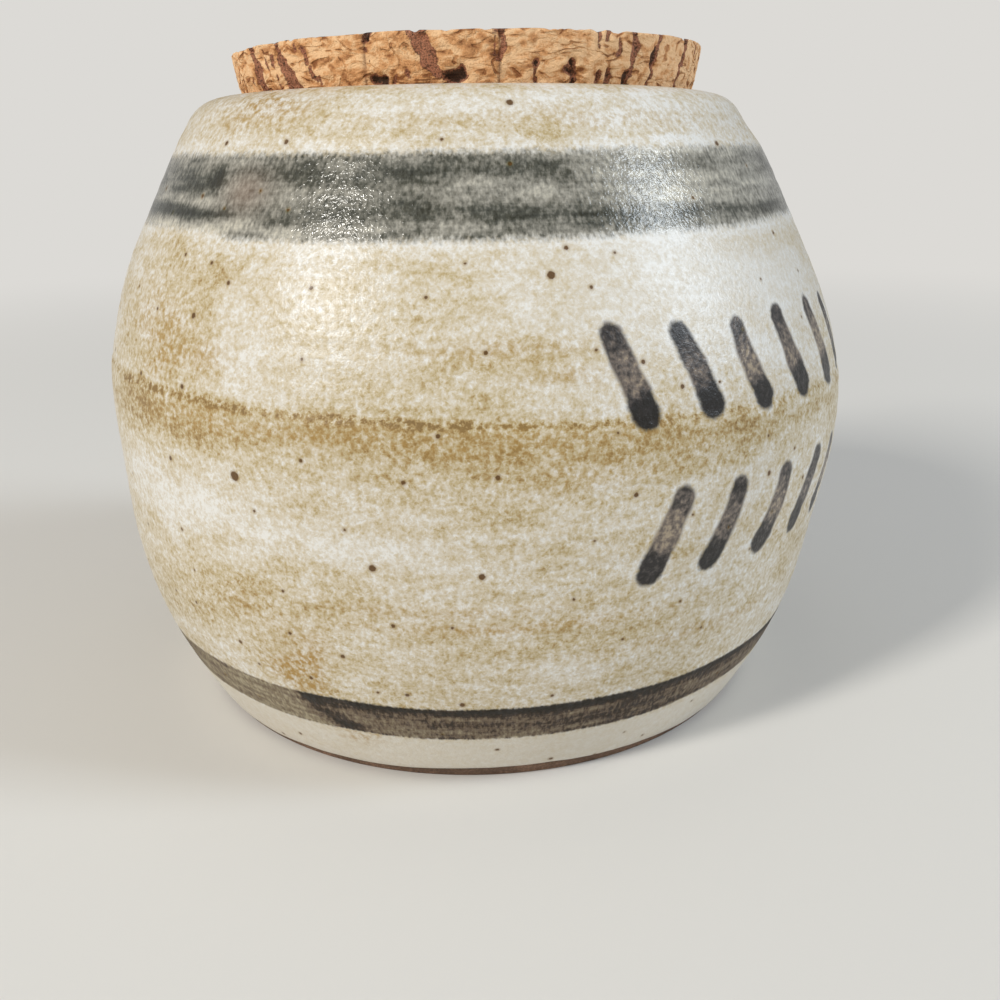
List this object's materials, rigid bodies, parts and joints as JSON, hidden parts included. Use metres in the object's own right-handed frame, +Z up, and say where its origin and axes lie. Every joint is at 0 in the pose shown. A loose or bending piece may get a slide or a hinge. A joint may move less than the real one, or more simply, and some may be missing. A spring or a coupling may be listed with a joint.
{
  "type": "stoneware canister with cork stopper",
  "caption": "Squat hand-thrown stoneware canister with a leaning shoulder, rounded lip, painted bands and a tapered cork stopper.",
  "frame": {"origin": "centre of the flat foot, on the surface that the canister stands on", "axes": "+Z up along the axis the pot was turned about; -Y is the front"},
  "size_m": [0.168, 0.168, 0.1418],
  "materials": {
    "glazed_stoneware": "satin oatmeal glaze over iron-bearing stoneware, with brushed slate bands and a bare clay foot",
    "cork": "dry natural bark cork with growth lines and dark pores"
  },
  "bodies": {
    "root": {"stoneware_pot": "glazed_stoneware", "cork_stopper": "cork"}
  },
  "joints": []
}
